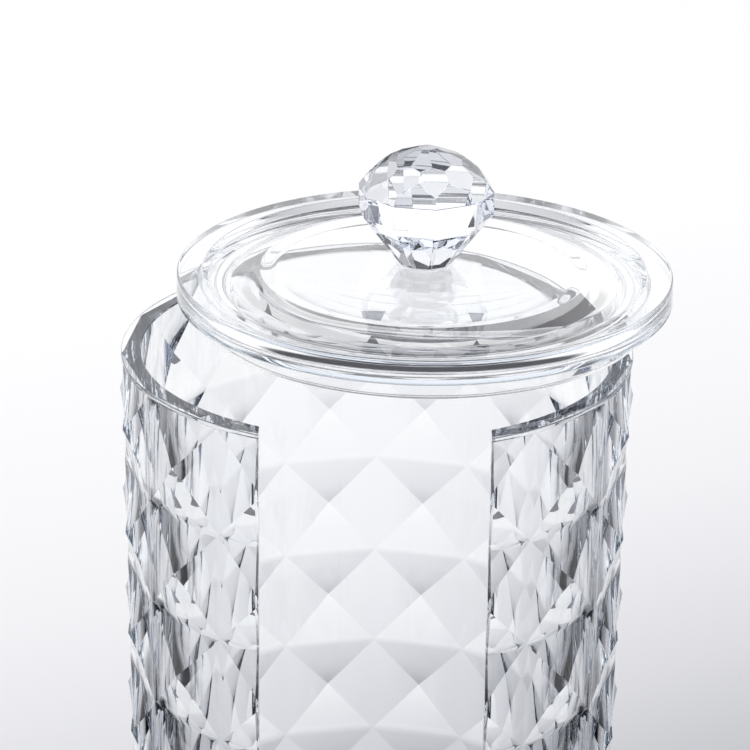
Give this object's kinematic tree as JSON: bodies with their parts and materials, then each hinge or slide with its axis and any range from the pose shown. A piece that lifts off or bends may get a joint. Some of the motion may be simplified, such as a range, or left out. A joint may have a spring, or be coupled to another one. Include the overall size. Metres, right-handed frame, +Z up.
{
  "type": "cotton pad holder",
  "caption": "Clear cylindrical cotton pad holder with a diamond-faceted wall, a full-height front slot and a loose domed lid with a crystal knob, lying ajar.",
  "frame": {"origin": "centre of the underside of the body, on the surface it stands on", "axes": "+Z up along the body's axis, -Y towards the front slot, +X to the right seen from the front"},
  "size_m": [0.0878, 0.0934, 0.1901],
  "materials": {
    "clear_acrylic": "clear, polished, moulded",
    "clear_acrylic_lid": "clear, polished, moulded",
    "clear_adhesive": "clear, cured",
    "cut_crystal": "clear, cut and polished flats"
  },
  "bodies": {
    "holder": {"shell": "clear_acrylic"},
    "lid_with_knob": {"lid": "clear_acrylic_lid", "knob_bond": "clear_adhesive", "knob": "cut_crystal"}
  },
  "joints": [
    {"name": "lid_lift", "type": "slide", "parent": "holder", "child": "lid_with_knob", "axis": [0, 0, 1], "range_m": [0, 0.1]}
  ]
}
